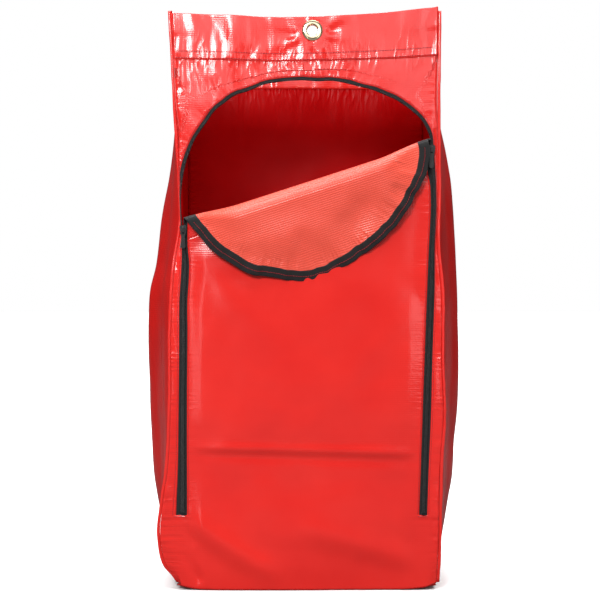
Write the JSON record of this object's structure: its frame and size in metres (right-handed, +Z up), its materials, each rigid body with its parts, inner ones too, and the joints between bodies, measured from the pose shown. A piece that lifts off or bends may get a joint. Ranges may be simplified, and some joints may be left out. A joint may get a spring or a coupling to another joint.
{
  "type": "zippered janitorial cart waste bag",
  "caption": "Tall open-topped vinyl waste bag for a cleaning cart, with a hemmed rim, hanging grommets and an arched zip door in its front.",
  "frame": {"origin": "centre of the bottom panel's underside", "axes": "+X to the right seen from the front, the front with the zip door faces -Y, +Z up"},
  "size_m": [0.4788, 0.288, 0.838],
  "materials": {
    "vinyl": "glossy red sheet vinyl with a faint woven rib",
    "vinyl_header": "glossy red sheet vinyl, folded and sewn double",
    "vinyl_sides": "glossy red sheet vinyl",
    "vinyl_door": "red sheet vinyl, its woven back facing out where it is folded down",
    "zip_tape": "black woven polyester tape",
    "zip_teeth": "black nylon coil",
    "zip_hardware": "black enamel",
    "grommet": "polished"
  },
  "bodies": {
    "bag": {"front_panel": "vinyl", "back_panel": "vinyl", "left_side_panel": "vinyl_sides", "right_side_panel": "vinyl_sides", "bottom_panel": "vinyl", "front_left_seam_welt": "vinyl_sides", "front_right_seam_welt": "vinyl_sides", "back_left_seam_welt": "vinyl_sides", "back_right_seam_welt": "vinyl_sides", "front_header_band": "vinyl_header", "back_header_band": "vinyl_header", "left_header_band": "vinyl_header", "right_header_band": "vinyl_header", "front_grommet_eyelet": "grommet", "front_grommet_washer": "grommet", "back_grommet_eyelet": "grommet", "back_grommet_washer": "grommet", "frame_zip_tape": "zip_tape", "frame_zip_coil": "zip_teeth", "left_door_zip_tape": "zip_tape", "right_door_zip_tape": "zip_tape", "left_zip_chain": "zip_teeth", "right_zip_chain": "zip_teeth", "left_zip_stop": "zip_hardware", "right_zip_stop": "zip_hardware"},
    "door_fold": {"door_fold": "vinyl_door", "left_fold_zip_tape": "zip_tape", "left_fold_zip_coil": "zip_teeth", "right_fold_zip_tape": "zip_tape", "right_fold_zip_coil": "zip_teeth"},
    "door_flap": {"door_flap": "vinyl_door", "flap_zip_tape": "zip_tape", "flap_zip_coil": "zip_teeth"},
    "left_slider": {"left_slider_body": "zip_hardware"},
    "left_pull": {"left_pull_tab": "zip_hardware"},
    "right_slider": {"right_slider_body": "zip_hardware"},
    "right_pull": {"right_pull_tab": "zip_hardware"}
  },
  "joints": [
    {"name": "door_fold_hinge", "type": "hinge", "parent": "bag", "child": "door_fold", "pos_m": [-0.0021, -0.13541, 0.59351], "axis": [0.9516, 0, 0.3075], "range_deg": [-92, 0]},
    {"name": "door_flap_hinge", "type": "hinge", "parent": "door_fold", "child": "door_flap", "pos_m": [-0.00195, -0.14905, 0.59306], "axis": [0.9516, 0, 0.3075], "range_deg": [-92, 0]},
    {"name": "left_slider_travel", "type": "slide", "parent": "bag", "child": "left_slider", "axis": [0, 0, 1], "range_m": [-0.398, 0], "deforming": ["left_zip_chain"]},
    {"name": "left_pull_swing", "type": "hinge", "parent": "left_slider", "child": "left_pull", "pos_m": [-0.178, -0.1375, 0.52], "axis": [-1, 0, 0], "range_deg": [0, 110]},
    {"name": "right_slider_travel", "type": "slide", "parent": "bag", "child": "right_slider", "axis": [0.0214, 0, 0.9998], "range_m": [-0.514, 0], "deforming": ["right_zip_chain"]},
    {"name": "right_pull_swing", "type": "hinge", "parent": "right_slider", "child": "right_pull", "pos_m": [0.18079, -0.1375, 0.636], "axis": [-0.9998, 0, 0.0214], "range_deg": [0, 18]}
  ],
  "couplings": [
    {"joint": "door_flap_hinge", "follows": "door_fold_hinge", "ratio": 1}
  ]
}
